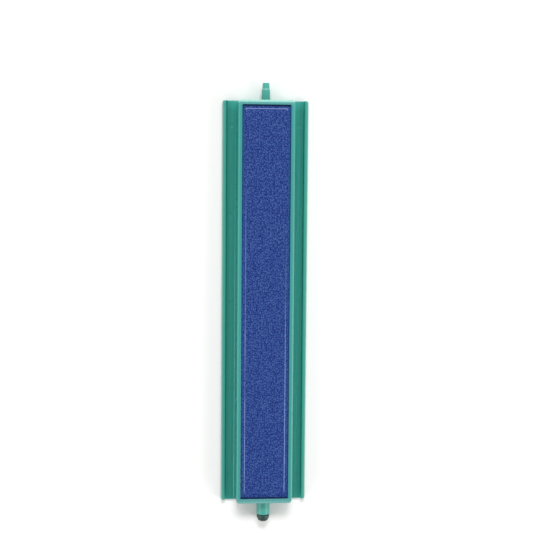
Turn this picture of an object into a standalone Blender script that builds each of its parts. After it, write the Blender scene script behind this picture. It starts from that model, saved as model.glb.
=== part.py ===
"""Air stone bar for an aquarium: a green moulded holder, a fused-grain stone, its seal and an end plug.

Metres, +Z up. The bar lies flat on its base with the stone face up. The origin is the centre of the
base face, X runs across the bar, and +Y points to the hose nipple at the inlet end.
"""

from math import cos, radians, sin

import bmesh
import bpy
from mathutils import Matrix, Vector

MM = 0.001
GAP = 0.3 * MM  # clearance between pieces that touch on the real bar

# Overall
WIDTH = 49.5 * MM  # across the two wings
LENGTH = 233.4 * MM  # end wall to end wall, without nipple and plug
WING_CORNER = 1.0 * MM  # plan radius at the wings' corners

# Wings
WING_FLOOR = 1.6 * MM  # thickness of the wing plate
RIM_TOP = 3.2 * MM  # height of the raised outer rim
RIM_WIDTH = 2.3 * MM
RIM_DRAFT = 0.15 * MM  # how far the rim's inner face leans out at the floor

# Trough that holds the stone
WALL_TOP = 12.4 * MM
TROUGH_HALF_TOP = 16.1 * MM  # outer half width at the wall top
TROUGH_DRAFT = 0.5 * MM  # how much wider each side is at the wing floor
TROUGH_END_DRAFT = 0.2 * MM  # how much the end walls lean in at the top
TROUGH_CORNER = 1.9 * MM  # plan radius at the trough's outer corners
SIDE_WALL = 2.2 * MM
END_WALL = 2.8 * MM
LEDGE_TOP = 5.6 * MM  # the stone's seat
LEDGE_WIDTH = 3.3 * MM
PLENUM_FLOOR = 1.8 * MM

# Stone
STONE_TOP = 12.0 * MM
BEVEL_DROP = 0.5 * MM  # the face falls this much from the plateau to the edge
BEVEL_SIDE = 2.3 * MM
BEVEL_END = 2.8 * MM

# Seal bead, in the corner of ledge and wall
BEAD_HEIGHT = 1.3 * MM
BEAD_TOP_WIDTH = 0.3 * MM

# Air way: nipple, passages and socket share one axis
AIR_AXIS_Z = 4.0 * MM
PASSAGE_D = 2.2 * MM
NIPPLE_END = 126.6 * MM  # y of the nipple's tip
NIPPLE_STEP = 123.0 * MM  # y where the tip section meets the root section
NIPPLE_TIP_D = 3.8 * MM
NIPPLE_TIP_ROOT_D = 4.1 * MM
NIPPLE_ROOT_TIP_D = 4.6 * MM
NIPPLE_ROOT_D = 4.7 * MM
SOCKET_END = -124.9 * MM  # y of the socket's rim
SOCKET_D = 7.8 * MM
SOCKET_RIM_D = 7.5 * MM
SOCKET_BORE_D = 4.7 * MM
SOCKET_DEPTH = 6.5 * MM

# End plug
PLUG_HEAD_D = 7.3 * MM
PLUG_HEAD_LENGTH = 4.0 * MM
PLUG_EDGE = 2.2 * MM  # length of the dome at the head's end
PLUG_FLAT_D = 3.0 * MM  # flat at the top of the dome
PLUG_SHANK_D = 3.5 * MM
PLUG_RIB_D = SOCKET_BORE_D - 2 * GAP
PLUG_SHANK_LENGTH = 6.0 * MM
PLUG_RIBS = 3
PLUG_RIB_PITCH = 1.6 * MM

ROUND_STEPS = 40
DOME_STEPS = 6
CORNER_STEPS = 5
OVER = 2.0 * MM  # how far a cutter runs past what it cuts

# Worked out from the dimensions above
HALF_WIDTH = WIDTH / 2
HALF_LENGTH = LENGTH / 2
POCKET_X = TROUGH_HALF_TOP - SIDE_WALL
POCKET_Y = HALF_LENGTH - END_WALL
PLENUM_X = POCKET_X - LEDGE_WIDTH
PLENUM_Y = POCKET_Y - LEDGE_WIDTH
STONE_X = POCKET_X - GAP
STONE_Y = POCKET_Y - GAP
SEAT_Z = LEDGE_TOP + GAP
PLUG_FACE_Y = SOCKET_END - GAP


def clear_scene():
    for thing in list(bpy.data.objects):
        bpy.data.objects.remove(thing)


def make_collection(name):
    made = bpy.data.collections.new(name)
    bpy.context.scene.collection.children.link(made)
    return made


def material(name, colour, roughness, metallic=0.0):
    made = bpy.data.materials.new(name)
    made.use_nodes = True
    shader = made.node_tree.nodes["Principled BSDF"]
    shader.inputs["Base Color"].default_value = (*colour, 1.0)
    shader.inputs["Roughness"].default_value = roughness
    shader.inputs["Metallic"].default_value = metallic
    return made


def add_object(name, mesh, collection):
    made = bpy.data.objects.new(name, mesh)
    collection.objects.link(made)
    return made


def frustum(name, collection, low_half, high_half, low_z, high_z, corner=0.0):
    """A block centred on the Z axis, with its own half size (x, y) at each end and rounded plan corners."""
    work = bmesh.new()
    bmesh.ops.create_cube(work, size=2.0)
    if corner:
        uprights = [e for e in work.edges if abs(e.verts[0].co.z - e.verts[1].co.z) > 1.0]
        bmesh.ops.scale(work, vec=(*low_half, 1.0), verts=work.verts)
        bmesh.ops.bevel(
            work, geom=uprights, offset=corner, segments=CORNER_STEPS, profile=0.5, affect="EDGES"
        )
        bmesh.ops.scale(work, vec=(1 / low_half[0], 1 / low_half[1], 1.0), verts=work.verts)
    for vertex in work.verts:
        half, z = (high_half, high_z) if vertex.co.z > 0 else (low_half, low_z)
        vertex.co = Vector((vertex.co.x * half[0], vertex.co.y * half[1], z))
    mesh = bpy.data.meshes.new(name)
    work.to_mesh(mesh)
    work.free()
    return add_object(name, mesh, collection)


def turned(name, collection, profile, y_start=0.0):
    """A solid turned about the Y axis. The profile is (radius, y) pairs, from the highest y to the lowest."""
    work = bmesh.new()
    points = [work.verts.new((r, 0.0, y)) for r, y in profile]
    for first, second in zip(points, points[1:]):
        work.edges.new((first, second))
    mesh = bpy.data.meshes.new(name)
    work.to_mesh(mesh)
    work.free()
    made = add_object(name, mesh, collection)
    screw = made.modifiers.new("turn", "SCREW")
    screw.axis = "Z"
    screw.steps = ROUND_STEPS
    screw.render_steps = ROUND_STEPS
    screw.use_merge_vertices = True
    screw.merge_threshold = 0.00001
    # the profile's own z becomes +Y
    made.matrix_world = Matrix.Translation((0.0, y_start, AIR_AXIS_Z)) @ Matrix.Rotation(radians(-90), 4, "X")
    return made


def boolean(target, tool, operation):
    modifier = target.modifiers.new(f"{operation.lower()} {tool.name}", "BOOLEAN")
    modifier.operation = operation
    modifier.solver = "EXACT"
    modifier.object = tool
    tool.hide_render = True
    tool.display_type = "WIRE"


def cut(target, *tools):
    for tool in tools:
        boolean(target, tool, "DIFFERENCE")


def join(target, *tools):
    for tool in tools:
        boolean(target, tool, "UNION")


def cylinder(name, collection, diameter, y_low, y_high):
    """A round cutter along Y on the air way's axis."""
    radius = diameter / 2
    return turned(name, collection, [(0.0, y_high), (radius, y_high), (radius, y_low), (0.0, y_low)])


def channel_cutter(name, collection, side):
    """The gravel channel over one wing, between the rim and the trough wall, cut out past both ends."""
    outer_floor = HALF_WIDTH - RIM_WIDTH - RIM_DRAFT
    outer_top = HALF_WIDTH - RIM_WIDTH
    inner = TROUGH_HALF_TOP - SIDE_WALL / 2
    section = [
        (side * inner, WING_FLOOR),
        (side * outer_floor, WING_FLOOR),
        (side * outer_top, RIM_TOP),
        (side * outer_top, RIM_TOP + OVER),
        (side * inner, RIM_TOP + OVER),
    ]
    y_end = HALF_LENGTH + OVER
    work = bmesh.new()
    face = work.faces.new([work.verts.new((x, -y_end, z)) for x, z in section])
    grown = bmesh.ops.extrude_face_region(work, geom=[face])
    moved = [v for v in grown["geom"] if isinstance(v, bmesh.types.BMVert)]
    bmesh.ops.translate(work, vec=(0.0, 2 * y_end, 0.0), verts=moved)
    bmesh.ops.recalc_face_normals(work, faces=work.faces)
    mesh = bpy.data.meshes.new(name)
    work.to_mesh(mesh)
    work.free()
    return add_object(name, mesh, collection)


def nipple_profile():
    """Stepped hose nipple: a tapered tip section, then a step up to the tapered root section."""
    inside = HALF_LENGTH - END_WALL / 2
    return [
        (0.0, NIPPLE_END),
        (NIPPLE_TIP_D / 2, NIPPLE_END),
        (NIPPLE_TIP_ROOT_D / 2, NIPPLE_STEP),
        (NIPPLE_ROOT_TIP_D / 2, NIPPLE_STEP),
        (NIPPLE_ROOT_D / 2, inside),
        (0.0, inside),
    ]


def socket_profile():
    inside = -HALF_LENGTH + END_WALL / 2
    return [
        (0.0, inside),
        (SOCKET_D / 2, inside),
        (SOCKET_RIM_D / 2, SOCKET_END),
        (0.0, SOCKET_END),
    ]


def make_holder(parts, cutters):
    plan = (HALF_WIDTH, HALF_LENGTH)
    holder = frustum("holder", parts, plan, plan, 0.0, RIM_TOP, WING_CORNER)
    cut(holder, *[channel_cutter(f"channel_{side:+d}", cutters, side) for side in (-1, 1)])

    # the trough starts inside the plate, on the same slopes as above it
    start = WING_FLOOR / 2
    share = (WALL_TOP - start) / (WALL_TOP - WING_FLOOR)
    foot = (TROUGH_HALF_TOP + share * TROUGH_DRAFT, HALF_LENGTH)
    top = (TROUGH_HALF_TOP, HALF_LENGTH - TROUGH_END_DRAFT)
    block = frustum("trough_block", cutters, foot, top, start, WALL_TOP, TROUGH_CORNER)
    nipple = turned("nipple_body", cutters, nipple_profile())
    socket = turned("socket_body", cutters, socket_profile())
    join(holder, block, nipple, socket)

    pocket = (POCKET_X, POCKET_Y)
    plenum = (PLENUM_X, PLENUM_Y)
    reach = PLENUM_Y - OVER
    cut(
        holder,
        frustum("stone_pocket", cutters, pocket, pocket, LEDGE_TOP, WALL_TOP + OVER),
        frustum("plenum", cutters, plenum, plenum, PLENUM_FLOOR, LEDGE_TOP + OVER),
        cylinder("inlet_passage", cutters, PASSAGE_D, reach, NIPPLE_END + OVER),
        cylinder("socket_passage", cutters, PASSAGE_D, SOCKET_END - OVER, -reach),
        cylinder("socket_bore", cutters, SOCKET_BORE_D, SOCKET_END - OVER, SOCKET_END + SOCKET_DEPTH),
    )
    holder.data.materials.append(material("green_plastic", (0.06, 0.31, 0.25), 0.35))
    return holder


def bead_half_sizes():
    """Half sizes (x, y) of the bead's inner face, at its foot and at its top."""
    foot_width = BEAD_TOP_WIDTH + BEAD_HEIGHT
    foot = (STONE_X - foot_width, STONE_Y - foot_width)
    top = (STONE_X - BEAD_TOP_WIDTH, STONE_Y - BEAD_TOP_WIDTH)
    return foot, top


def make_seal_bead(parts, cutters):
    """A ring with a sloping inner face, which fills the corner of ledge and wall."""
    outer = (STONE_X, STONE_Y)
    bead = frustum("seal_bead", parts, outer, outer, SEAT_Z, SEAT_Z + BEAD_HEIGHT)
    foot, top = bead_half_sizes()
    low = (foot[0] - OVER, foot[1] - OVER)
    high = (top[0] + OVER, top[1] + OVER)
    cut(bead, frustum("bead_inside", cutters, low, high, SEAT_Z - OVER, SEAT_Z + BEAD_HEIGHT + OVER))
    bead.data.materials.append(material("adhesive", (0.55, 0.53, 0.46), 0.4))
    return bead


def make_stone(parts, cutters):
    """A bar with a bevelled top edge, and a chamfered lower edge that clears the bead."""
    clear = GAP / cos(radians(45))  # keeps GAP between the two sloping faces
    chamfer = BEAD_TOP_WIDTH + BEAD_HEIGHT + clear
    edge_z = STONE_TOP - BEVEL_DROP
    foot = (STONE_X - chamfer, STONE_Y - chamfer)
    full = (STONE_X, STONE_Y)
    plateau = (STONE_X - BEVEL_SIDE, STONE_Y - BEVEL_END)
    levels = [(foot, SEAT_Z), (full, SEAT_Z + chamfer), (full, edge_z), (plateau, STONE_TOP)]

    work = bmesh.new()
    bmesh.ops.create_cube(work, size=2.0)
    cuts = len(levels) - 2
    uprights = [e for e in work.edges if abs(e.verts[0].co.z - e.verts[1].co.z) > 1.0]
    bmesh.ops.subdivide_edges(work, edges=uprights, cuts=cuts, use_grid_fill=True)
    for vertex in work.verts:
        level = round((vertex.co.z + 1.0) / 2.0 * (cuts + 1))
        half, z = levels[level]
        vertex.co = Vector((vertex.co.x * half[0], vertex.co.y * half[1], z))
    mesh = bpy.data.meshes.new("stone")
    work.to_mesh(mesh)
    work.free()
    stone = add_object("stone", mesh, parts)
    stone.data.materials.append(material("blue_stone", (0.037, 0.074, 0.266), 0.85))
    return stone


def plug_profile():
    """From the shank's tip, at y 0 + the shank's length, out to the flat on the domed head."""
    shank = PLUG_SHANK_D / 2
    rib = PLUG_RIB_D / 2
    points = [(0.0, PLUG_SHANK_LENGTH), (shank - 0.3 * MM, PLUG_SHANK_LENGTH)]
    for number in range(PLUG_RIBS):
        crest = PLUG_SHANK_LENGTH - 0.9 * MM - number * PLUG_RIB_PITCH
        points += [(shank, crest + 0.5 * MM), (rib, crest), (rib, crest - 0.2 * MM), (shank, crest - 0.4 * MM)]
    points += [(shank, 0.0), (PLUG_HEAD_D / 2, 0.0)]
    barrel_end = -(PLUG_HEAD_LENGTH - PLUG_EDGE)
    flat = PLUG_FLAT_D / 2
    for step in range(DOME_STEPS + 1):
        turn = radians(90 * step / DOME_STEPS)
        radius = flat + (PLUG_HEAD_D / 2 - flat) * cos(turn)
        points.append((radius, barrel_end - PLUG_EDGE * sin(turn)))
    points.append((0.0, -PLUG_HEAD_LENGTH))
    return points


def make_end_plug(parts):
    plug = turned("end_plug", parts, plug_profile(), PLUG_FACE_Y)
    plug.data.materials.append(material("dark_rubber", (0.012, 0.025, 0.023), 0.6))
    return plug


def shade(part):
    part.data.shade_smooth()
    part.data.set_sharp_from_angle(angle=radians(35))


clear_scene()
parts = make_collection("air_stone_bar")
cutters = make_collection("cutters")
for piece in (
    make_holder(parts, cutters),
    make_seal_bead(parts, cutters),
    make_stone(parts, cutters),
    make_end_plug(parts),
):
    shade(piece)
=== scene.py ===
"""Looks for the air stone bar: moulded green holder, fused-grain blue stone, its seal and a rubber plug.

Metres, in the CAD frame: X across the bar, +Y to the hose nipple, +Z out of the stone's face.
"""

import math

import bmesh
import bpy
import numpy as np
from mathutils import Matrix, Vector


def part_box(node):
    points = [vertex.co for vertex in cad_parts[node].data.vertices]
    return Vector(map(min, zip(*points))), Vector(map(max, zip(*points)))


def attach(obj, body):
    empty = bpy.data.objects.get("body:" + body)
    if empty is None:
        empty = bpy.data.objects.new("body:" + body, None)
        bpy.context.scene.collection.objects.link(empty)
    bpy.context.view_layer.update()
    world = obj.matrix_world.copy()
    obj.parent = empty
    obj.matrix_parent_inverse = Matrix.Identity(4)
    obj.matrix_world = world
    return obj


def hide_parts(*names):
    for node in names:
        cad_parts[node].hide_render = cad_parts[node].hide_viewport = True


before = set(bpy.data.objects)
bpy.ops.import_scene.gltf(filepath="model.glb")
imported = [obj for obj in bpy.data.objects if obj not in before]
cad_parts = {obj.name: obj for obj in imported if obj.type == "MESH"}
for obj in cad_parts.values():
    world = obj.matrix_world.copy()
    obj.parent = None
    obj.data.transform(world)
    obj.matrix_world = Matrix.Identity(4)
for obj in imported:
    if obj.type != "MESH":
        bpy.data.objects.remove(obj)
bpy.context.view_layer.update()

MM = 0.001

# Read from the frame
HOLDER_LOW, HOLDER_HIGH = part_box("holder")
STONE_LOW, STONE_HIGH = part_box("stone")
BEAD_LOW, BEAD_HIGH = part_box("seal_bead")
PLUG_LOW, PLUG_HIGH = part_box("end_plug")
HALF_WIDTH = HOLDER_HIGH.x
WALL_TOP = HOLDER_HIGH.z
NIPPLE_END = HOLDER_HIGH.y
SOCKET_END = HOLDER_LOW.y

# The holder's section, as in the CAD
HALF_LENGTH = 116.7 * MM
WING_CORNER = 1.0 * MM
WING_FLOOR = 1.6 * MM
RIM_TOP = 3.2 * MM
RIM_WIDTH = 2.3 * MM
RIM_DRAFT = 0.15 * MM
TROUGH_HALF_TOP = 16.1 * MM
TROUGH_DRAFT = 0.5 * MM
TROUGH_END_DRAFT = 0.2 * MM
TROUGH_CORNER = 1.9 * MM
SIDE_WALL = 2.2 * MM
END_WALL = 2.8 * MM
POCKET_X = TROUGH_HALF_TOP - SIDE_WALL
POCKET_Y = HALF_LENGTH - END_WALL
LEDGE_TOP = 5.6 * MM
LEDGE_WIDTH = 3.3 * MM
PLENUM_FLOOR = 1.8 * MM

# Its edges, finer than in the CAD
WING_TOP_EDGE = 0.4 * MM  # radii of the wings' end edges
WING_FOOT_EDGE = 0.15 * MM
WING_BEND = 1.5 * MM  # this much of each wing's width follows the rounded corner in plan
WING_SET_BACK = 0.03 * MM  # keeps the wings' end faces just behind the end walls
TROUGH_FOOT = 0.25 * MM  # buried in the plate
FOOT_EASE = 0.15 * MM
WALL_FILLET = 1.3 * MM  # where the wall's outer face runs into the wing
FILLET_SUNK = 0.03 * MM  # the fillet dips just under the wing's floor, so the two surfaces cross
WALL_OUTER_LIP = 0.5 * MM
WALL_INNER_LIP = 0.25 * MM
INNER_ROOT = 0.3 * MM  # at the feet of the pocket's and the plenum's walls
LEDGE_NOSE = 0.2 * MM
POCKET_CORNER = 0.6 * MM
SHARPEST_CORNER = 0.05 * MM

# Air way, with the diameters and places of the CAD
AXIS_Z = 4.0 * MM
PASSAGE_D = 2.2 * MM
PLENUM_REACH = 108.6 * MM  # inside the plenum, where the air way's cutters start
NIPPLE_STEP = 123.0 * MM
NIPPLE_SHOULDER = 1.0 * MM  # length of the slope, half of it on each side of the step
NIPPLE_TIP_D = 3.8 * MM
NIPPLE_TIP_ROOT_D = 4.1 * MM
NIPPLE_ROOT_TIP_D = 4.6 * MM
NIPPLE_ROOT_D = 4.7 * MM
SOCKET_D = 7.8 * MM
SOCKET_RIM_D = 7.5 * MM
SOCKET_BORE_D = 4.7 * MM
SOCKET_DEPTH = 6.5 * MM
SPOUT_BURIED = 1.5 * MM  # nipple and socket start this deep in the end walls
SPOUT_WALL = 0.1 * MM  # and their flares start just under the walls' outer faces
FLARE_WIDTH = 0.5 * MM
FLARE_LENGTH = 0.6 * MM
FLARE_RADIUS = 0.5 * MM
MOUTH_FLARE = 0.25 * MM  # how far the air way's mouths open out

# Marks of the moulds
SPOUT_SEAM = 0.03 * MM  # how far the mould's seam stands out
PLUG_SEAM = 0.025 * MM
PLUG_WIDTH_SHARE = 0.993  # keeps the plug's seam inside the CAD piece's width
GATE_D = 5.0 * MM
GATE_DEPTH = 0.3 * MM
GATE_STUB_D = 1.3 * MM
GATE_STUB_Z = (0.1 * MM, 0.6 * MM)
PIN_MARKS = 5
PIN_PITCH = 51.3 * MM
PIN_MARK_D = 3.5 * MM
PIN_MARK_DEPTH = 0.26 * MM
PIN_MARK_SLOPE = 0.5 * MM  # how far the dent's sloping edge reaches inwards
PIN_MARK_X = 19.4 * MM

# Where the holder's tones start and are full: from the middle in X or Y, or up from the base
LIT_INLET_Y = (111.0 * MM, 116.5 * MM)
RIM_TONE_X = (22.2 * MM, 24.8 * MM)
RIM_START_X = (22.2 * MM, 22.7 * MM)
RIM_START_Z = (2.2 * MM, 3.1 * MM)
RIM_FOOT_X = (21.4 * MM, 22.1 * MM)
RIM_FOOT_Z = (2.5 * MM, 1.9 * MM)
POCKET_WALL_OUT = (0.2 * MM, 0.05 * MM)  # out from the pocket's outline
POCKET_WALL_Z = (8.0 * MM, 10.0 * MM)
WALL_TOP_Z = (11.4 * MM, 12.2 * MM)
END_WALL_Y = (113.0 * MM, 114.8 * MM)
END_LIP_Y = (115.1 * MM, 115.5 * MM)
SPOUT_Y = (116.8 * MM, 118.0 * MM)
SHOULDER_FADE = (0.7 * NIPPLE_SHOULDER, 0.35 * NIPPLE_SHOULDER)  # from the nipple's step
ON_LEFT_X = (MM, -MM)
AT_INLET_Y = (-MM, MM)

# Stone
FACE_PITCH = 0.27 * MM  # mesh pitch over the face
FACE_JOG = 0.15  # how far a point strays from the mesh's rows, as a share of the pitch
STONE_SEED = 5
GRAIN_SIZE = 0.95 * MM  # mean distance between grains
GRAIN_SPREAD = 0.85  # 0 sets the grains in rows, and 1 strews them
GRAIN_HEIGHT = 0.16 * MM
GRAIN_REACH = 0.6  # a grain has dropped by its height at this share of GRAIN_SIZE from its centre
SWELL_HEIGHT = 0.08 * MM  # slow unevenness of the face
SWELL_SCALE = 180.0  # swells per metre
STONE_BEVEL_DROP = 0.5 * MM
STONE_STEP = 0.28 * MM  # the part of the drop that falls away at once from the plateau's edge
STONE_STEP_WIDTH = 0.45 * MM
STONE_BEVEL_SIDE = 2.3 * MM
STONE_BEVEL_END = 2.3 * MM
STONE_SPREAD = 0.1 * MM  # the grains reach this far into the CAD's clearance round the stone
STONE_FOOT_CHAMFER = 2.05 * MM
SIDE_LEVELS = (10.6 * MM, 9.5 * MM, 8.7 * MM)  # rows of points down the sides, above the chamfer
SIDE_ROUGHNESS = 0.14 * MM
CREST_WIDTH = 0.35 * MM  # half the band along the plateau's edge where the grains are lower
CREST_CALM = 0.7  # the share of their height that they lose there

# Where the stone's tones start and are full
CREST_FADE = (0.32 * MM, 0.12 * MM)  # from the middle of the step round the plateau
# the painted highlight along the plateau's edge
SIDE_HIGHLIGHT_Y = (50.0 * MM, -60.0 * MM)
SIDE_HIGHLIGHT_STOP_Y = (-111.0 * MM, -109.0 * MM)
INLET_HIGHLIGHT_Y = (110.0 * MM, 111.0 * MM)
LEFT_HIGHLIGHT_SOONER = 40.0 * MM
GREEN_SIDE_X = (STONE_HIGH.x - 1.7 * MM, STONE_HIGH.x - 0.6 * MM)
# the painted shadow of the end walls on the stone
END_SHADOW_Y = (STONE_HIGH.y - 1.1 * MM, STONE_HIGH.y - 0.5 * MM)

# Seal bead
BEAD_SPACING = 1.2 * MM  # between its sections
BEAD_SECTION = 7  # points along the section's open side
BEAD_REACH = 1.5 * MM  # over the ledge, before it swells and shrinks
BEAD_SAG = 0.12  # how hollow the open side is

# End plug
SHANK_LENGTH = 6.0 * MM
SHANK_RADIUS = 1.75 * MM
RIBS = 3
RIB_RADIUS = 2.05 * MM
RIB_PITCH = 1.6 * MM
RIB_FROM_TIP = 0.9 * MM

# Camera, fitted to the photograph's view of the bar
CAMERA_AT = Vector((-53.0, 70.4, 645.8)) * MM
CAMERA_TO = Vector((1.4, 20.9, 0.0)) * MM
CAMERA_ROLL = math.radians(-0.42)
CAMERA_LENS = 75.2
SENSOR = 36.0

FLOOR_SIZE = 6.0
FLOOR_DROP = 0.02 * MM

# Mesh
ROUND_STEPS = 96
MARK_STEPS = 40
FILLET_STEPS = 4
CORNER_STEPS = 8
WING_CORNER_STEPS = 12
SHARP_ANGLE = math.radians(38.0)
TINY = 1e-9  # nearer than this counts as on the axis or on the side
ON_BORDER = 1e-7  # and nearer than this as on the border of the stone's face


# ---------------------------------------------------------------- mesh helpers


def mesh_object(name, points, faces):
    mesh = bpy.data.meshes.new(name)
    mesh.from_pydata([tuple(p) for p in points], [], faces)
    mesh.validate()
    made = bpy.data.objects.new(name, mesh)
    bpy.context.scene.collection.objects.link(made)
    return made


def rounded(corners, closed=True):
    """The outline through (x, z, radius) corners, each one rounded by an arc of its radius."""
    outline = []
    count = len(corners)
    for number, (x, z, radius) in enumerate(corners):
        here = Vector((x, z))
        if not radius or (not closed and number in (0, count - 1)):
            outline.append(here)
            continue
        before = Vector(corners[number - 1][:2]) - here
        after = Vector(corners[(number + 1) % count][:2]) - here
        before.normalize()
        after.normalize()
        half = before.angle(after) / 2
        reach = radius / math.tan(half)
        centre = here + (before + after).normalized() * (radius / math.sin(half))
        start = here + before * reach - centre
        sweep = (here + after * reach - centre).angle_signed(start)
        for step in range(FILLET_STEPS + 1):
            turn = Matrix.Rotation(sweep * step / FILLET_STEPS, 2)
            outline.append(centre + turn @ start)
    return outline


def loft(loops):
    """Points and faces of a closed solid through equal loops of points, capped at the first and the last."""
    size = len(loops[0])
    points = [p for loop in loops for p in loop]
    faces = [list(range(size))[::-1]]
    for level in range(len(loops) - 1):
        low, high = level * size, (level + 1) * size
        for i in range(size):
            j = (i + 1) % size
            faces.append([low + i, low + j, high + j, high + i])
    faces.append([(len(loops) - 1) * size + i for i in range(size)])
    return points, faces


def rectangle_loop(half_x, half_y, radius, z):
    """A level loop round a rectangle with rounded corners, anticlockwise from above."""
    loop = []
    for quarter, (sx, sy) in enumerate([(1, 1), (-1, 1), (-1, -1), (1, -1)]):
        for step in range(CORNER_STEPS + 1):
            turn = math.pi / 2 * (quarter + step / CORNER_STEPS)
            x = sx * (half_x - radius) + radius * math.cos(turn)
            y = sy * (half_y - radius) + radius * math.sin(turn)
            loop.append((x, y, z))
    return loop


def turned(name, profile, seam=0.0):
    """A solid turned about the air way's axis from (radius, y) points, with a mould seam on each side."""
    points, faces = [], []
    rings = []
    for radius, y in profile:
        if radius < TINY:
            rings.append([len(points)])
            points.append((0.0, y, AXIS_Z))
            continue
        ring = []
        for step in range(ROUND_STEPS):
            turn = 2 * math.pi * step / ROUND_STEPS
            r = radius + (seam if step % (ROUND_STEPS // 2) == 0 else 0.0)
            ring.append(len(points))
            points.append((r * math.cos(turn), y, AXIS_Z + r * math.sin(turn)))
        rings.append(ring)
    for one, two in zip(rings, rings[1:]):
        for i in range(ROUND_STEPS):
            j = (i + 1) % ROUND_STEPS
            if len(one) == 1:
                faces.append([one[0], two[j], two[i]])
            elif len(two) == 1:
                faces.append([one[i], one[j], two[0]])
            else:
                faces.append([one[i], one[j], two[j], two[i]])
    made = mesh_object(name, points, faces)
    face_outwards(made)
    return made


def face_outwards(thing, triangles=False):
    work = bmesh.new()
    work.from_mesh(thing.data)
    if triangles:
        bmesh.ops.triangulate(work, faces=work.faces)
    bmesh.ops.recalc_face_normals(work, faces=work.faces)
    work.to_mesh(thing.data)
    work.free()


def disc(name, x, y, levels):
    """An upright round cutter through (diameter, z) levels."""
    turns = [2 * math.pi * i / MARK_STEPS for i in range(MARK_STEPS)]
    loops = []
    for diameter, z in levels:
        loops.append([(x + diameter / 2 * math.cos(t), y + diameter / 2 * math.sin(t), z) for t in turns])
    made = mesh_object(name, *loft(loops))
    face_outwards(made)
    return made


def combine(base, steps):
    """Applies (operation, tool) Booleans to base in turn, and removes the tools."""
    face_outwards(base, triangles=True)
    for operation, tool in steps:
        face_outwards(tool, triangles=True)
        modifier = base.modifiers.new(operation, "BOOLEAN")
        modifier.operation = operation
        modifier.solver = "EXACT"
        modifier.object = tool
    bpy.context.view_layer.update()
    graph = bpy.context.evaluated_depsgraph_get()
    mesh = bpy.data.meshes.new_from_object(base.evaluated_get(graph))
    base.modifiers.clear()
    base.data = mesh
    for _, tool in steps:
        bpy.data.objects.remove(tool)


def smooth(thing):
    thing.data.shade_smooth()
    thing.data.set_sharp_from_angle(angle=SHARP_ANGLE)
    even = thing.modifiers.new("even_normals", "WEIGHTED_NORMAL")
    even.keep_sharp = True
    even.weight = 80


# ---------------------------------------------------------------- node helpers


def connect(tree, value, socket):
    """Links another node's output to the socket, or sets anything else as the socket's own value."""
    if isinstance(value, bpy.types.NodeSocket):
        tree.links.new(value, socket)
    else:
        socket.default_value = value


class Shade:
    """A short way to build a material's node tree."""

    def __init__(self, name):
        self.material = bpy.data.materials.new(name)
        self.material.use_nodes = True
        self.tree = self.material.node_tree
        self.shader = self.tree.nodes["Principled BSDF"]
        self.place = self.node("ShaderNodeTexCoord").outputs["Object"]

    def node(self, kind, **settings):
        made = self.tree.nodes.new(kind)
        for key, value in settings.items():
            setattr(made, key, value)
        return made

    def feed(self, made, **values):
        """Connects a node's inputs by name, with _ for each space."""
        for key, value in values.items():
            connect(self.tree, value, made.inputs[key.replace("_", " ")])
        return made

    def stretch(self, x, y, z):
        """The place, with each axis scaled by its own factor."""
        made = self.feed(self.node("ShaderNodeMapping"), Vector=self.place, Scale=(x, y, z))
        return made.outputs["Vector"]

    def noise(self, vector, scale, detail, rough=0.5):
        made = self.node("ShaderNodeTexNoise")
        self.feed(made, Vector=vector, Scale=scale, Detail=detail, Roughness=rough)
        return made.outputs["Fac"]

    def ramp(self, value, stops):
        """The colour at a value, through (value, colour) stops."""
        made = self.feed(self.node("ShaderNodeValToRGB"), Fac=value)
        elements = made.color_ramp.elements
        while len(elements) < len(stops):
            elements.new(0.5)
        for element, (position, colour) in zip(elements, stops):
            element.position = position
            element.color = (*colour, 1.0)
        return made.outputs["Color"]

    def math(self, operation, *values):
        """The result of an operation on values in the order of its node's inputs."""
        made = self.node("ShaderNodeMath", operation=operation)
        for socket, value in zip(made.inputs, values):
            connect(self.tree, value, socket)
        return made.outputs["Value"]

    def between(self, value, low, high, course="SMOOTHSTEP"):
        """0 below low and 1 above high, or the other way round where low is more than high."""
        made = self.node("ShaderNodeMapRange", interpolation_type=course)
        self.feed(made, Value=value, From_Min=low, From_Max=high)
        return made.outputs["Result"]

    def mix(self, share, one, two):
        """The colour one, with this share of two."""
        made = self.feed(self.node("ShaderNodeMix", data_type="RGBA"), Factor=share)
        colours = [socket for socket in made.inputs if socket.type == "RGBA"]
        for socket, value in zip(colours, (one, two)):
            connect(self.tree, value if isinstance(value, bpy.types.NodeSocket) else (*value, 1.0), socket)
        return [socket for socket in made.outputs if socket.type == "RGBA"][0]

    def bump(self, height, distance, strength, under=None):
        made = self.feed(self.node("ShaderNodeBump"), Height=height, Distance=distance, Strength=strength)
        if under:
            self.feed(made, Normal=under)
        return made.outputs["Normal"]

    def axes(self):
        """The place's own x, y and z."""
        made = self.feed(self.node("ShaderNodeSeparateXYZ"), Vector=self.place)
        return made.outputs["X"], made.outputs["Y"], made.outputs["Z"]

    def set(self, **values):
        self.feed(self.shader, **values)
        return self.material


# ---------------------------------------------------------------- materials


def wall_top_tone(s, y, across, along):
    """Painted light on the wall tops: a painted reflection of the stone's blue along the inner edge, a
    painted highlight along the outer one, and paler on the end walls.
    """
    tone = s.ramp(
        s.between(across, POCKET_X, TROUGH_HALF_TOP, "LINEAR"),
        [(0.0, (0.040, 0.247, 0.278)), (0.5, (0.046, 0.278, 0.268)), (0.85, (0.078, 0.365, 0.318))],
    )
    tone = s.mix(s.math("MULTIPLY", s.between(along, *END_WALL_Y), 0.6), tone, (0.14, 0.34, 0.33))

    # painted highlight along the end walls' outer edges, strongest at the inlet end
    light = s.math("MULTIPLY_ADD", s.between(y, *AT_INLET_Y), 0.65, 0.2)
    return s.mix(s.math("MULTIPLY", s.between(along, *END_LIP_Y), light), tone, (0.40, 0.74, 0.64))


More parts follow.
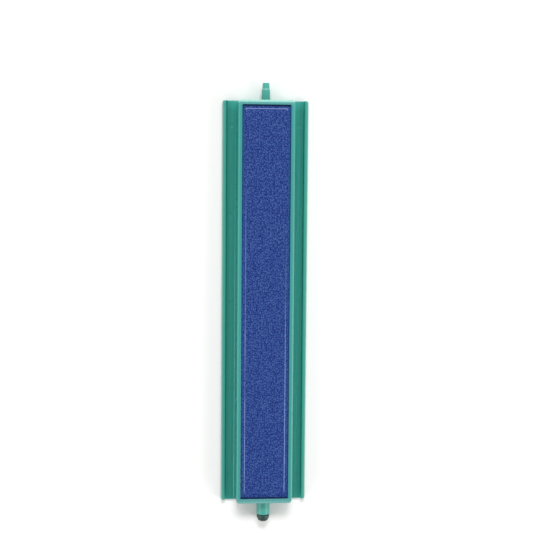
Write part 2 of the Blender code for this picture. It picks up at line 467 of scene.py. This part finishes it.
def rim_tone(s, across):
    """Painted light: the rims are thin, and are painted paler towards their outer edges, where light shows
    through.
    """
    stops = [
        (0.1, (0.010, 0.25, 0.19)),
        (0.4, (0.038, 0.34, 0.26)),
        (0.7, (0.095, 0.35, 0.295)),
        (1.0, (0.20, 0.40, 0.35)),
    ]
    return s.ramp(s.between(across, *RIM_TONE_X, "LINEAR"), stops)


def green_plastic():
    """Moulded plastic with flow streaks along the bar; painted light makes it paler where it is thin, on the
    wall tops and at the inlet end, and painted shade darkens the rims' feet.
    """
    s = Shade("green_plastic")
    x, y, z = s.axes()
    across = s.math("ABSOLUTE", x)
    along = s.math("ABSOLUTE", y)
    streaks = s.noise(s.stretch(900.0, 14.0, 400.0), 1.0, 4.0, 0.6)
    clouds = s.noise(s.stretch(60.0, 22.0, 60.0), 1.0, 3.0)
    fine = s.noise(s.stretch(1800.0, 50.0, 500.0), 1.0, 2.0)

    body = s.ramp(streaks, [(0.3, (0.010, 0.208, 0.168)), (0.7, (0.017, 0.248, 0.203))])
    body = s.mix(s.math("MULTIPLY", clouds, 0.35), body, (0.022, 0.285, 0.235))
    # painted light: paler towards the inlet end
    body = s.mix(s.between(y, *LIT_INLET_Y, "LINEAR"), body, (0.034, 0.345, 0.285))

    # painted light on the rims, paler towards their outer edges
    rim = s.math("MULTIPLY", s.between(across, *RIM_START_X), s.between(z, *RIM_START_Z))
    body = s.mix(s.math("MULTIPLY", rim, 0.85), body, rim_tone(s, across))

    # painted reflection: the pocket's walls take the stone's blue
    out = s.math("MAXIMUM", s.math("SUBTRACT", across, POCKET_X), s.math("SUBTRACT", along, POCKET_Y))
    inside = s.math("MULTIPLY", s.between(out, *POCKET_WALL_OUT), s.between(z, *POCKET_WALL_Z))
    body = s.mix(s.math("MULTIPLY", inside, 0.8), body, (0.035, 0.22, 0.33))

    # painted light: the wall tops are paler than the floors below them
    on_top = s.math("MULTIPLY", s.between(z, *WALL_TOP_Z), 0.8)
    body = s.mix(on_top, body, wall_top_tone(s, y, across, along))

    # painted light: the nipple and the socket are thin all round, and painted paler where light shows
    # through
    spout = s.between(along, *SPOUT_Y)
    body = s.mix(s.math("MULTIPLY", spout, 0.85), body, (0.058, 0.345, 0.290))

    # painted highlight on the nipple's shoulder, which faces the key light
    from_step = s.math("ABSOLUTE", s.math("SUBTRACT", y, NIPPLE_STEP))
    shoulder = s.between(from_step, *SHOULDER_FADE)
    body = s.mix(s.math("MULTIPLY", shoulder, 0.7), body, (0.17, 0.46, 0.39))

    # painted shade in the creases at the rims' feet, more on the left
    foot = s.math("MULTIPLY", s.between(across, *RIM_FOOT_X), s.between(z, *RIM_FOOT_Z))
    foot_shade_share = s.math("MULTIPLY_ADD", s.between(x, *ON_LEFT_X), 0.6, 0.05)
    body = s.mix(s.math("MULTIPLY", foot, foot_shade_share), body, (0.001, 0.185, 0.140))

    gloss = s.math("MULTIPLY_ADD", fine, 0.18, 0.18)
    roughness = s.math("ADD", gloss, s.math("MULTIPLY", spout, 0.15))
    relief = s.bump(streaks, 0.03 * MM, 0.3)
    relief = s.bump(fine, 0.01 * MM, 0.3, relief)
    return s.set(
        Base_Color=body,
        Roughness=roughness,
        Normal=relief,
        IOR=1.49,
        Subsurface_Weight=0.12,
        Subsurface_Radius=(0.3, 1.0, 0.8),
        Subsurface_Scale=1.2 * MM,
    )


def crest_highlight(s, x, y):
    """The painted highlight along the plateau's edge: all along the inlet end, and from mid length down on
    the sides.
    """
    side = s.math("SUBTRACT", s.math("ABSOLUTE", x), STONE_HIGH.x + STONE_SPREAD - STONE_BEVEL_SIDE)
    end = s.math("SUBTRACT", s.math("ABSOLUTE", y), STONE_HIGH.y + STONE_SPREAD - STONE_BEVEL_END)
    from_crest = s.math("ABSOLUTE", s.math("SUBTRACT", s.math("MAXIMUM", side, end), STONE_STEP_WIDTH / 2))
    patches = s.between(s.noise(s.place, 45.0, 2.0), 0.35, 0.6)
    crest_light = s.math("MULTIPLY_ADD", patches, 0.7, 0.45)

    # it starts sooner on the left
    sooner = s.math("MULTIPLY", s.between(x, *ON_LEFT_X), LEFT_HIGHLIGHT_SOONER)
    from_start = s.math("SUBTRACT", y, sooner)
    crest_light = s.math("MULTIPLY", crest_light, s.between(from_start, *SIDE_HIGHLIGHT_Y, "LINEAR"))
    crest_light = s.math("MULTIPLY", crest_light, s.between(y, *SIDE_HIGHLIGHT_STOP_Y))
    crest_light = s.math("MAXIMUM", crest_light, s.between(y, *INLET_HIGHLIGHT_Y))
    return s.math("MULTIPLY", s.between(from_crest, *CREST_FADE), crest_light)


def blue_stone():
    """Fused glassy grains: each has its own tone and gloss, with painted shade in the pores between them and
    painted light on their rounded tops.
    """
    s = Shade("blue_stone")
    x, y, _ = s.axes()
    cells = s.node("ShaderNodeTexVoronoi", voronoi_dimensions="2D")
    s.feed(cells, Vector=s.place, Scale=1 / GRAIN_SIZE, Randomness=GRAIN_SPREAD)
    own = s.feed(s.node("ShaderNodeSeparateColor"), Color=cells.outputs["Color"])
    fine = s.noise(s.place, 3200.0, 3.0, 0.65)

    # painted light and shade: lighter on each grain's rounded top, darker in the pores between grains
    dome = s.between(cells.outputs["Distance"], GRAIN_REACH, 0.18)
    tone = s.math("ADD", s.math("MULTIPLY", own.outputs["Red"], 0.3), s.math("MULTIPLY", dome, 0.5))
    tone = s.math("ADD", tone, s.math("MULTIPLY", fine, 0.2))
    body = s.ramp(
        tone,
        [
            (0.15, (0.001, 0.014, 0.138)),
            (0.45, (0.010, 0.040, 0.197)),
            (0.65, (0.019, 0.058, 0.236)),
            (0.90, (0.062, 0.115, 0.318)),
        ],
    )
    # painted highlight along the plateau's edge
    body = s.mix(crest_highlight(s, x, y), body, (0.17, 0.23, 0.50))

    # painted reflection: the sides take a little green from the walls
    near_wall = s.between(s.math("ABSOLUTE", x), *GREEN_SIDE_X)
    body = s.mix(s.math("MULTIPLY", near_wall, 0.45), body, (0.020, 0.095, 0.29))

    # painted shadow of the end walls along the stone's ends
    end_shadow = s.between(s.math("ABSOLUTE", y), *END_SHADOW_Y)
    body = s.mix(s.math("MULTIPLY", end_shadow, 0.8), body, (0.001, 0.012, 0.07))

    roughness = s.math("MULTIPLY_ADD", own.outputs["Green"], 0.40, 0.45)
    relief = s.bump(dome, 0.1 * MM, 0.8)
    relief = s.bump(fine, 0.04 * MM, 0.7, relief)
    return s.set(Base_Color=body, Roughness=roughness, Normal=relief, Specular_IOR_Level=0.22)


def clear_adhesive():
    s = Shade("adhesive")
    lumps = s.noise(s.place, 900.0, 2.0)
    body = s.ramp(lumps, [(0.3, (0.25, 0.26, 0.25)), (0.7, (0.42, 0.43, 0.40))])
    return s.set(Base_Color=body, Roughness=0.25, Normal=s.bump(lumps, 0.1 * MM, 0.6))


def dark_rubber():
    """Matte moulded rubber with a faint bloom."""
    s = Shade("dark_rubber")
    bloom = s.noise(s.place, 420.0, 4.0, 0.65)
    fine = s.noise(s.place, 5200.0, 3.0, 0.6)
    body = s.ramp(bloom, [(0.3, (0.006, 0.034, 0.028)), (0.75, (0.022, 0.066, 0.057))])
    roughness = s.math("MULTIPLY_ADD", bloom, 0.25, 0.38)
    return s.set(Base_Color=body, Roughness=roughness, Normal=s.bump(fine, 0.02 * MM, 0.6))


# ---------------------------------------------------------------- holder


def wing_outline():
    """The closed section of plate and rims, anticlockwise seen from the nipple's side."""
    half = [
        (HALF_WIDTH, 0.0, 0.25 * MM),
        (HALF_WIDTH, RIM_TOP, 0.55 * MM),
        (HALF_WIDTH - RIM_WIDTH, RIM_TOP, 0.35 * MM),
        (HALF_WIDTH - RIM_WIDTH - RIM_DRAFT, WING_FLOOR, 0.4 * MM),
    ]
    mirrored = [(-x, z, radius) for x, z, radius in reversed(half)]
    return rounded(half + mirrored)


def arc_drop(back, radius):
    """How far a rounded edge of this radius falls, this far back from its end."""
    return radius - math.sqrt(max(0.0, radius**2 - (radius - min(back, radius)) ** 2))


def make_wings():
    """The section swept along the bar, with rounded plan corners and rounded end edges."""
    outline = wing_outline()
    end = HALF_LENGTH - WING_SET_BACK
    stretch_from = HALF_WIDTH - WING_BEND
    turns = [math.pi / 2 * step / WING_CORNER_STEPS for step in range(WING_CORNER_STEPS + 1)]
    stations = [end - WING_CORNER * (1 - math.sin(turn)) for turn in turns]
    loops = []
    for y in [-y for y in reversed(stations)] + stations:
        back = end - abs(y)
        squeeze = 1 - arc_drop(back, WING_CORNER) / (HALF_WIDTH - stretch_from)
        loop = []
        for x, z in outline:
            if z > WING_FLOOR / 2:
                z -= arc_drop(back, WING_TOP_EDGE)
            else:
                z += arc_drop(back, WING_FOOT_EDGE)
            if abs(x) > stretch_from:
                x = math.copysign(stretch_from + (abs(x) - stretch_from) * squeeze, x)
            loop.append((x, y, z))
        loops.append(loop)
    made = mesh_object("holder_body", *loft(loops))
    face_outwards(made)
    return made


def trough_levels():
    """Levels (half x, half y, corner radius, z), up the outside, over the wall and down to the plenum."""
    levels = []

    def arc(x, y, corner, z, radius, start, stop):
        """Levels round a quarter about (x, z) in section. A turn of 0 points outwards, and 90 up."""
        for step in range(FILLET_STEPS + 1):
            turn = math.radians(start + (stop - start) * step / FILLET_STEPS)
            out = radius * math.cos(turn)
            plan_corner = max(corner + out, SHARPEST_CORNER)
            levels.append((x + out, y + out, plan_corner, z + radius * math.sin(turn)))

    foot_x = TROUGH_HALF_TOP + TROUGH_DRAFT
    base_x = foot_x + WALL_FILLET
    ease, lip, inner, root, nose = FOOT_EASE, WALL_OUTER_LIP, WALL_INNER_LIP, INNER_ROOT, LEDGE_NOSE
    arc(base_x - ease, HALF_LENGTH - ease, TROUGH_CORNER - ease, TROUGH_FOOT + ease, ease, -90, 0)
    for step in range(2 * FILLET_STEPS + 1):
        turn = math.radians(90 * step / (2 * FILLET_STEPS))
        x = foot_x + WALL_FILLET * (1 - math.sin(turn))
        z = WING_FLOOR - FILLET_SUNK + WALL_FILLET * (1 - math.cos(turn))
        levels.append((x, HALF_LENGTH, TROUGH_CORNER, z))
    top_y = HALF_LENGTH - TROUGH_END_DRAFT
    arc(TROUGH_HALF_TOP - lip, top_y - lip, TROUGH_CORNER - lip, WALL_TOP - lip, lip, 0, 90)
    arc(POCKET_X + inner, POCKET_Y + inner, POCKET_CORNER + inner, WALL_TOP - inner, inner, 90, 180)
    arc(POCKET_X - root, POCKET_Y - root, POCKET_CORNER - root, LEDGE_TOP + root, root, 0, -90)
    seat_x, seat_y = POCKET_X - LEDGE_WIDTH, POCKET_Y - LEDGE_WIDTH
    arc(seat_x + nose, seat_y + nose, POCKET_CORNER + nose, LEDGE_TOP - nose, nose, 90, 180)
    arc(seat_x - root, seat_y - root, POCKET_CORNER - root, PLENUM_FLOOR + root, root, 0, -90)
    return levels


def make_trough():
    made = mesh_object("trough", *loft([rectangle_loop(*level) for level in trough_levels()]))
    face_outwards(made)
    return made


def pairs(outline):
    return [(p.x, p.y) for p in outline]


def nipple_profile():
    """Stepped hose nipple with eased edges, and a small flare where it grows out of the end wall."""
    buried = HALF_LENGTH - SPOUT_BURIED
    wall = HALF_LENGTH - SPOUT_WALL
    corners = [
        (0.0, buried, 0.0),
        (NIPPLE_ROOT_D / 2 + FLARE_WIDTH, buried, 0.0),
        (NIPPLE_ROOT_D / 2 + FLARE_WIDTH, wall, 0.0),
        (NIPPLE_ROOT_D / 2, wall + FLARE_LENGTH, FLARE_RADIUS),
        (NIPPLE_ROOT_TIP_D / 2, NIPPLE_STEP - NIPPLE_SHOULDER / 2, 0.12 * MM),
        (NIPPLE_TIP_ROOT_D / 2, NIPPLE_STEP + NIPPLE_SHOULDER / 2, 0.08 * MM),
        (NIPPLE_TIP_D / 2, NIPPLE_END, 0.2 * MM),
        (0.0, NIPPLE_END, 0.0),
    ]
    return pairs(rounded(corners, closed=False))


def socket_profile():
    """Round socket with an eased rim, and a flare that stays above the base where it meets the end wall."""
    buried = -HALF_LENGTH + SPOUT_BURIED
    wall = -HALF_LENGTH + SPOUT_WALL
    above_base = AXIS_Z - 0.06 * MM
    corners = [
        (0.0, buried, 0.0),
        (SOCKET_D / 2 - 0.3 * MM, buried, 0.0),
        (min(SOCKET_D / 2 + FLARE_WIDTH, above_base), wall, 0.0),
        (SOCKET_D / 2, wall - FLARE_LENGTH, FLARE_RADIUS),
        (SOCKET_RIM_D / 2, SOCKET_END, 0.35 * MM),
        (0.0, SOCKET_END, 0.0),
    ]
    return pairs(rounded(corners, closed=False))


def air_way(name, way, steps, mouth):
    """A cutter along the air way: (diameter, y) steps from the plenum out, then a mouth that opens out."""
    over = 0.5 * MM
    profile = [(0.0, steps[0][1])]
    for diameter, y in steps:
        profile.append((diameter / 2, y))
    radius = profile[-1][0]
    profile.append((radius, mouth - way * MOUTH_FLARE))
    profile.append((radius + MOUTH_FLARE + over, mouth + way * over))
    profile.append((0.0, mouth + way * over))
    return turned(name, profile)


def inlet_cutter():
    return air_way("inlet", 1, [(PASSAGE_D, PLENUM_REACH)], NIPPLE_END)


def outlet_cutter():
    """The passage behind the plug, and the socket bore that the plug sits in."""
    floor = SOCKET_END + SOCKET_DEPTH
    steps = [(PASSAGE_D, -PLENUM_REACH), (PASSAGE_D, floor), (SOCKET_BORE_D, floor)]
    return air_way("outlet", -1, steps, SOCKET_END)


def pin_marks():
    """Round dents with sloping edges, where the pins pushed the moulding out."""
    marks = []
    clear = 0.6 * MM  # above the floor, over the wall's fillet
    levels = [
        (PIN_MARK_D - 2 * PIN_MARK_SLOPE, WING_FLOOR - PIN_MARK_DEPTH),
        (PIN_MARK_D, WING_FLOOR),
        (PIN_MARK_D, WING_FLOOR + clear),
    ]
    for side in (-1, 1):
        for number in range(PIN_MARKS):
            y = (number - (PIN_MARKS - 1) / 2) * PIN_PITCH
            marks.append(disc(f"pin_mark_{side:+d}_{number}", side * PIN_MARK_X, y, levels))
    return marks


def gate_steps():
    """The mark of the moulding gate under the base: a round dent, with the broken stub in its middle."""
    dent = disc("gate", 0.0, 0.0, [(GATE_D, -MM), (GATE_D, GATE_DEPTH)])
    stub = disc("gate_stub", 0.0, 0.0, [(GATE_STUB_D, z) for z in GATE_STUB_Z])
    return [("DIFFERENCE", dent), ("UNION", stub)]


def make_holder():
    holder = make_wings()
    steps = [("UNION", make_trough())]
    steps += [("UNION", turned("nipple", nipple_profile(), SPOUT_SEAM))]
    steps += [("UNION", turned("socket", socket_profile(), SPOUT_SEAM))]
    steps += [("DIFFERENCE", inlet_cutter()), ("DIFFERENCE", outlet_cutter())]
    steps += [("DIFFERENCE", mark) for mark in pin_marks()]
    combine(holder, steps + gate_steps())
    holder.data.materials.clear()
    holder.data.materials.append(green_plastic())
    smooth(holder)
    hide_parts("holder")
    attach(holder, "bar")


# ---------------------------------------------------------------- stone


def raise_grains(stone):
    """Presses the face down between the grains, on the pattern that the material colours."""
    group = bpy.data.node_groups.new("raised_grains", "GeometryNodeTree")
    for way in ("INPUT", "OUTPUT"):
        group.interface.new_socket(name="Geometry", in_out=way, socket_type="NodeSocketGeometry")
    nodes, links = group.nodes, group.links
    start, end = nodes.new("NodeGroupInput"), nodes.new("NodeGroupOutput")
    place = nodes.new("GeometryNodeInputPosition")

    cells = nodes.new("ShaderNodeTexVoronoi")
    cells.voronoi_dimensions = "2D"
    cells.inputs["Scale"].default_value = 1 / GRAIN_SIZE
    cells.inputs["Randomness"].default_value = GRAIN_SPREAD
    swell = nodes.new("ShaderNodeTexNoise")
    swell.inputs["Scale"].default_value = SWELL_SCALE
    links.new(place.outputs[0], cells.inputs["Vector"])
    links.new(place.outputs[0], swell.inputs["Vector"])

    def product(a, b):
        made = nodes.new("ShaderNodeMath")
        made.operation = "MULTIPLY"
        connect(group, a, made.inputs[0])
        connect(group, b, made.inputs[1])
        return made.outputs[0]

    squared = product(cells.outputs["Distance"], cells.outputs["Distance"])
    dome = product(squared, -GRAIN_HEIGHT / GRAIN_REACH**2)
    drop = nodes.new("ShaderNodeMath")
    links.new(dome, drop.inputs[0])
    links.new(product(swell.outputs[0], -SWELL_HEIGHT), drop.inputs[1])
    grainy = nodes.new("GeometryNodeInputNamedAttribute")
    grainy.data_type = "FLOAT"
    grainy.inputs["Name"].default_value = "grainy"
    offset = nodes.new("ShaderNodeCombineXYZ")
    links.new(product(drop.outputs[0], grainy.outputs[0]), offset.inputs["Z"])
    move = nodes.new("GeometryNodeSetPosition")
    links.new(start.outputs[0], move.inputs["Geometry"])
    links.new(offset.outputs[0], move.inputs["Offset"])
    links.new(move.outputs[0], end.inputs[0])

    modifier = stone.modifiers.new("raised_grains", "NODES")
    modifier.node_group = group
    bpy.context.view_layer.update()
    mesh = bpy.data.meshes.new_from_object(stone.evaluated_get(bpy.context.evaluated_depsgraph_get()))
    stone.modifiers.clear()
    stone.data = mesh


def stone_face(x, y, half_x, half_y):
    """The stone's face before its grains, and how near each point is to the plateau's edge."""
    side = (np.abs(x) - (half_x - STONE_BEVEL_SIDE)) / STONE_BEVEL_SIDE
    end = (np.abs(y) - (half_y - STONE_BEVEL_END)) / STONE_BEVEL_END
    from_edge = np.maximum(side * STONE_BEVEL_SIDE, end * STONE_BEVEL_END)
    slope = np.clip(np.maximum(side, end), 0, 1) * (STONE_BEVEL_DROP - STONE_STEP)
    step = np.clip(from_edge / STONE_STEP_WIDTH, 0, 1) * STONE_STEP
    crest = np.exp(-(((from_edge - STONE_STEP_WIDTH / 2) / CREST_WIDTH) ** 2))
    return STONE_HIGH.z - slope - step, crest


def face_points(half_x, half_y, columns, rows, rng):
    """The face's points, jogged so that no rows show, and how near each is to the plateau's edge."""
    across = np.linspace(-half_x, half_x, columns + 1)
    along = np.linspace(-half_y, half_y, rows + 1)
    x, y = np.meshgrid(across, along, indexing="ij")
    z, crest = stone_face(x, y, half_x, half_y)
    jog_x = rng.normal(0, FACE_JOG * FACE_PITCH, x.shape) * (1 - crest)
    jog_y = rng.normal(0, FACE_JOG * FACE_PITCH, x.shape) * (1 - crest)
    inside = (np.abs(x) < half_x - ON_BORDER) & (np.abs(y) < half_y - ON_BORDER)
    x = np.where(inside, x + jog_x, x)
    y = np.where(inside, y + jog_y, y)
    return np.stack([x.ravel(), y.ravel(), z.ravel()], 1), crest.ravel()


def face_cells(columns, rows):
    """The grid's faces, and its border as a ring of points, anticlockwise from above."""

    def at(i, j):
        return i * (rows + 1) + j

    i, j = np.meshgrid(np.arange(columns), np.arange(rows), indexing="ij")
    corners = [at(i, j), at(i + 1, j), at(i + 1, j + 1), at(i, j + 1)]
    faces = np.stack(corners, -1).reshape(-1, 4).tolist()
    border = [at(c, 0) for c in range(columns)]
    border += [at(columns, r) for r in range(rows)]
    border += [at(c, rows) for c in range(columns, 0, -1)]
    border += [at(0, r) for r in range(rows, 0, -1)]
    return faces, border


def add_sides(points, faces, border, half_x, half_y, rng):
    """Adds sides down from the border, rough with grains, to the chamfered foot. Returns all the points."""
    foot = STONE_LOW.z
    levels = [(level, 0.0) for level in SIDE_LEVELS]
    levels += [(foot + STONE_FOOT_CHAMFER, 0.0), (foot, STONE_FOOT_CHAMFER)]
    x, y, _ = points[border].T
    at_side = np.abs(x) > half_x - STONE_FOOT_CHAMFER
    at_end = np.abs(y) > half_y - STONE_FOOT_CHAMFER
    ring = border
    for level, inset in levels:
        rough = rng.random(len(border)) * SIDE_ROUGHNESS + inset
        low_x = x - np.sign(x) * rough * at_side
        low_y = y - np.sign(y) * rough * at_end
        lower = list(range(len(points), len(points) + len(border)))
        points = np.vstack([points, np.stack([low_x, low_y, np.full(len(border), level)], 1)])
        for k in range(len(border)):
            n = (k + 1) % len(border)
            faces.append([ring[k], lower[k], lower[n], ring[n]])
        ring = lower
    faces.append(ring[::-1])
    return points


def make_stone():
    """A grainy face on rough sides, which run down to a chamfered foot."""
    rng = np.random.default_rng(STONE_SEED)
    half_x = STONE_HIGH.x + STONE_SPREAD
    half_y = STONE_HIGH.y + STONE_SPREAD
    columns = int(2 * half_x / FACE_PITCH)
    rows = int(2 * half_y / FACE_PITCH)
    points, crest = face_points(half_x, half_y, columns, rows, rng)
    faces, border = face_cells(columns, rows)
    points = add_sides(points, faces, border, half_x, half_y, rng)
    stone = mesh_object("stone_grains", points, faces)
    face_outwards(stone)

    # 1 where the grains rise in full, less along the plateau's edge, and 0 on the sides
    grainy = np.zeros(len(points))
    grainy[: len(crest)] = 1 - CREST_CALM * crest
    layer = stone.data.attributes.new("grainy", "FLOAT", "POINT")
    layer.data.foreach_set("value", grainy.astype(np.float32))
    raise_grains(stone)
    stone.data.shade_smooth()
    stone.data.materials.append(blue_stone())
    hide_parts("stone")
    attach(stone, "bar")


# ---------------------------------------------------------------- seal bead


def bead_path(outer_x, outer_y):
    """Points round the bead's outer foot, anticlockwise from above."""
    path = []
    corners = [(outer_x, -outer_y), (outer_x, outer_y), (-outer_x, outer_y), (-outer_x, -outer_y)]
    for (x0, y0), (x1, y1) in zip(corners, corners[1:] + corners[:1]):
        count = int(max(abs(x1 - x0), abs(y1 - y0)) / BEAD_SPACING)
        path += [(x0 + (x1 - x0) * k / count, y0 + (y1 - y0) * k / count) for k in range(count)]
    return path


def inwards(value, outermost):
    """Along one axis: -1 or 1, towards the middle, for a point on an outer side, and 0 between the sides."""
    if abs(abs(value) - outermost) > TINY:
        return 0.0
    return -math.copysign(1, value)


def make_seal_bead():
    """A hand-laid ring of adhesive in the corner of ledge and wall, thicker and thinner as it goes."""
    points, faces = [], []
    path = bead_path(BEAD_HIGH.x, BEAD_HIGH.y)
    for number, (x, y) in enumerate(path):
        swell = 0.86 + 0.10 * math.sin(number * 0.37) * math.sin(number * 0.113 + 1.0)
        reach = BEAD_REACH * swell
        top = (BEAD_HIGH.z - BEAD_LOW.z) * swell
        for step in range(BEAD_SECTION):
            share = step / (BEAD_SECTION - 1)
            sag = BEAD_SAG * math.sin(math.pi * share)
            out = reach * max(0.0, share - sag)
            up = top * max(0.0, 1 - share - sag)
            place_x = x + inwards(x, BEAD_HIGH.x) * out
            place_y = y + inwards(y, BEAD_HIGH.y) * out
            points.append((place_x, place_y, BEAD_LOW.z + up))
        points.append((x, y, BEAD_LOW.z))
    size = BEAD_SECTION + 1
    for number in range(len(path)):
        nearer, further = number * size, (number + 1) % len(path) * size
        for k in range(size):
            n = (k + 1) % size
            faces.append([nearer + k, nearer + n, further + n, further + k])
    bead = mesh_object("seal_bead_ring", points, faces)
    face_outwards(bead)
    bead.data.materials.append(clear_adhesive())
    smooth(bead)
    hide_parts("seal_bead")
    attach(bead, "bar")


# ---------------------------------------------------------------- end plug


def plug_profile():
    """Ribbed shank, and a head with rounded shoulders and a domed end."""
    tip = PLUG_HIGH.y
    face = tip - SHANK_LENGTH
    end = PLUG_LOW.y
    head = PLUG_HIGH.x
    corners = [(0.0, tip, 0.0), (SHANK_RADIUS - 0.3 * MM, tip, 0.15 * MM)]
    for number in range(RIBS):
        crest = tip - RIB_FROM_TIP - number * RIB_PITCH
        corners += [
            (SHANK_RADIUS, crest + 0.5 * MM, 0.08 * MM),
            (RIB_RADIUS, crest, 0.06 * MM),
            (RIB_RADIUS, crest - 0.2 * MM, 0.06 * MM),
            (SHANK_RADIUS, crest - 0.4 * MM, 0.05 * MM),
        ]
    corners += [
        (SHANK_RADIUS, face, 0.12 * MM),
        (head, face, 0.18 * MM),
        (head, end + 2.6 * MM, 0.8 * MM),
        (head - 0.75 * MM, end + 0.7 * MM, 0.7 * MM),
        (1.5 * MM, end, 0.6 * MM),
        (0.0, end, 0.0),
    ]
    return pairs(rounded(corners, closed=False))


def make_end_plug():
    plug = turned("end_plug_rubber", plug_profile(), PLUG_SEAM)
    plug.data.transform(Matrix.Scale(PLUG_WIDTH_SHARE, 4, (1, 0, 0)))
    plug.data.materials.append(dark_rubber())
    smooth(plug)
    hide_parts("end_plug")
    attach(plug, "plug")


# ---------------------------------------------------------------- stage, light and camera


def make_floor():
    bpy.ops.mesh.primitive_plane_add(size=FLOOR_SIZE, location=(0.0, 0.0, -FLOOR_DROP))
    floor = bpy.context.object
    floor.name = "floor"
    floor.data.materials.append(Shade("pale_floor").set(Base_Color=(0.86, 0.86, 0.85, 1.0), Roughness=0.8))


def area_light(name, at, to, size, watts):
    data = bpy.data.lights.new(name, "AREA")
    data.shape = "RECTANGLE"
    data.size, data.size_y = size
    data.energy = watts
    lamp = bpy.data.objects.new(name, data)
    bpy.context.scene.collection.objects.link(lamp)
    lamp.location = at
    lamp.rotation_euler = (Vector(to) - Vector(at)).to_track_quat("-Z", "Y").to_euler()


def make_lights():
    """White light from all round, a large key light past the inlet end, and a weaker one on each side."""
    world = bpy.data.worlds.new("studio")
    world.use_nodes = True
    world.node_tree.nodes["Background"].inputs["Color"].default_value = (1.0, 1.0, 1.0, 1.0)
    world.node_tree.nodes["Background"].inputs["Strength"].default_value = 0.45
    bpy.context.scene.world = world
    area_light("key", (0.0, 1.35, 1.4), (0.0, 0.0, 0.0), (0.9, 0.55), 26.0)
    for side, watts in ((-1, 7.0), (1, 9.5)):
        area_light(f"side_{side:+d}", (side * 1.1, -0.45, 0.6), (0.0, -0.05, 0.0), (0.9, 0.5), watts)


def make_camera():
    data = bpy.data.cameras.new("camera")
    data.sensor_width = SENSOR
    data.lens = CAMERA_LENS
    data.clip_start = 0.01
    camera = bpy.data.objects.new("camera", data)
    bpy.context.scene.collection.objects.link(camera)
    forward = (CAMERA_TO - CAMERA_AT).normalized()
    level = Vector((math.sin(CAMERA_ROLL), math.cos(CAMERA_ROLL), 0.0))
    right = forward.cross(level).normalized()
    up = right.cross(forward)
    turn = Matrix((right, up, -forward)).transposed()
    camera.matrix_world = Matrix.Translation(CAMERA_AT) @ turn.to_4x4()
    bpy.context.scene.camera = camera


make_holder()
make_stone()
make_seal_bead()
make_end_plug()
make_floor()
make_lights()
make_camera()
bpy.context.scene.view_settings.view_transform = "Standard"

bpy.context.view_layer.update()
